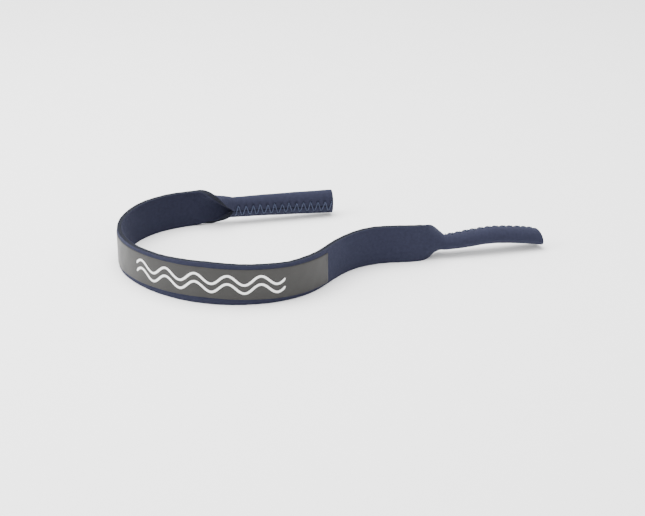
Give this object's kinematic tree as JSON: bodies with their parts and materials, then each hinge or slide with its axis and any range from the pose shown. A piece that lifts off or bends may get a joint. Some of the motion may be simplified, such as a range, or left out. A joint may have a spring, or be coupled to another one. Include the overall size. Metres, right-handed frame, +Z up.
{
  "type": "eyewear retainer strap",
  "caption": "Soft neoprene eyewear retainer: a flat laminated band curling into a stitched tubular sleeve at each end that slips over a glasses temple.",
  "frame": {"origin": "bottom centre of the bounding box, on the surface that the band's lower edge stands on", "axes": "+X along the sleeves towards their open mouths, +Y from the front of the band to the back, +Z up, across the band's width"},
  "size_m": [0.2324, 0.1144, 0.022],
  "materials": {
    "outer_knit": "matte navy nylon knit",
    "foam": "matte closed-cell foam",
    "lining": "matte dark navy knit",
    "soft_touch_panel": "satin taupe grey film",
    "thread": "steel-blue polyester thread"
  },
  "bodies": {
    "sleeve_left": {"sleeve_left_outer_knit": "outer_knit", "sleeve_left_foam_core": "foam", "sleeve_left_lining": "lining", "sleeve_left_needle_thread": "thread", "sleeve_left_bobbin_thread": "thread"},
    "neck_left": {"neck_left_outer_knit": "outer_knit", "neck_left_foam_core": "foam", "neck_left_lining": "lining"},
    "band_left": {"band_left_outer_knit": "outer_knit", "band_left_foam_core": "foam", "band_left_lining": "lining"},
    "band_front_left": {"band_front_left_outer_knit": "outer_knit", "band_front_left_foam_core": "foam", "band_front_left_lining": "lining", "band_front_left_panel": "soft_touch_panel"},
    "band_front": {"band_front_outer_knit": "outer_knit", "band_front_foam_core": "foam", "band_front_lining": "lining", "band_front_panel": "soft_touch_panel"},
    "band_front_right": {"band_front_right_outer_knit": "outer_knit", "band_front_right_foam_core": "foam", "band_front_right_lining": "lining", "band_front_right_panel": "soft_touch_panel"},
    "band_right": {"band_right_outer_knit": "outer_knit", "band_right_foam_core": "foam", "band_right_lining": "lining"},
    "neck_right": {"neck_right_outer_knit": "outer_knit", "neck_right_foam_core": "foam", "neck_right_lining": "lining"},
    "sleeve_right": {"sleeve_right_outer_knit": "outer_knit", "sleeve_right_foam_core": "foam", "sleeve_right_lining": "lining", "sleeve_right_needle_thread": "thread", "sleeve_right_bobbin_thread": "thread"}
  },
  "joints": [
    {"name": "front_left_bend", "type": "hinge", "parent": "band_front", "child": "band_front_left", "pos_m": [-0.10819, -0.0166, 0], "axis": [0, 0, 1], "range_deg": [-5, 45], "stiffness_Nm_per_rad": 0.0012},
    {"name": "left_bend", "type": "hinge", "parent": "band_front_left", "child": "band_left", "pos_m": [-0.10682, 0.03289, 0], "axis": [0, 0, 1], "range_deg": [-5, 60], "stiffness_Nm_per_rad": 0.0012},
    {"name": "left_neck_bend", "type": "hinge", "parent": "band_left", "child": "neck_left", "pos_m": [-0.06205, 0.05496, 0], "axis": [0, 0, 1], "range_deg": [-15, 40], "stiffness_Nm_per_rad": 0.0012},
    {"name": "left_sleeve_twist", "type": "hinge", "parent": "neck_left", "child": "sleeve_left", "pos_m": [-0.04406, 0.05112, 0.0079], "axis": [1, 0, 0], "range_deg": [-60, 60], "stiffness_Nm_per_rad": 0.0008},
    {"name": "front_right_bend", "type": "hinge", "parent": "band_front", "child": "band_front_right", "pos_m": [-0.06327, -0.05352, 0], "axis": [0, 0, 1], "range_deg": [-45, 5], "stiffness_Nm_per_rad": 0.0012},
    {"name": "right_bend", "type": "hinge", "parent": "band_front_right", "child": "band_right", "pos_m": [-0.00884, -0.03725, 0], "axis": [0, 0, 1], "range_deg": [-35, 5], "stiffness_Nm_per_rad": 0.0012},
    {"name": "right_neck_bend", "type": "hinge", "parent": "band_right", "child": "neck_right", "pos_m": [0.03526, -0.02185, 0], "axis": [0, 0, 1], "range_deg": [-40, 15], "stiffness_Nm_per_rad": 0.0012},
    {"name": "right_sleeve_twist", "type": "hinge", "parent": "neck_right", "child": "sleeve_right", "pos_m": [0.05322, -0.01849, 0.0084], "axis": [1, 0, 0], "range_deg": [-60, 60], "stiffness_Nm_per_rad": 0.0008}
  ]
}
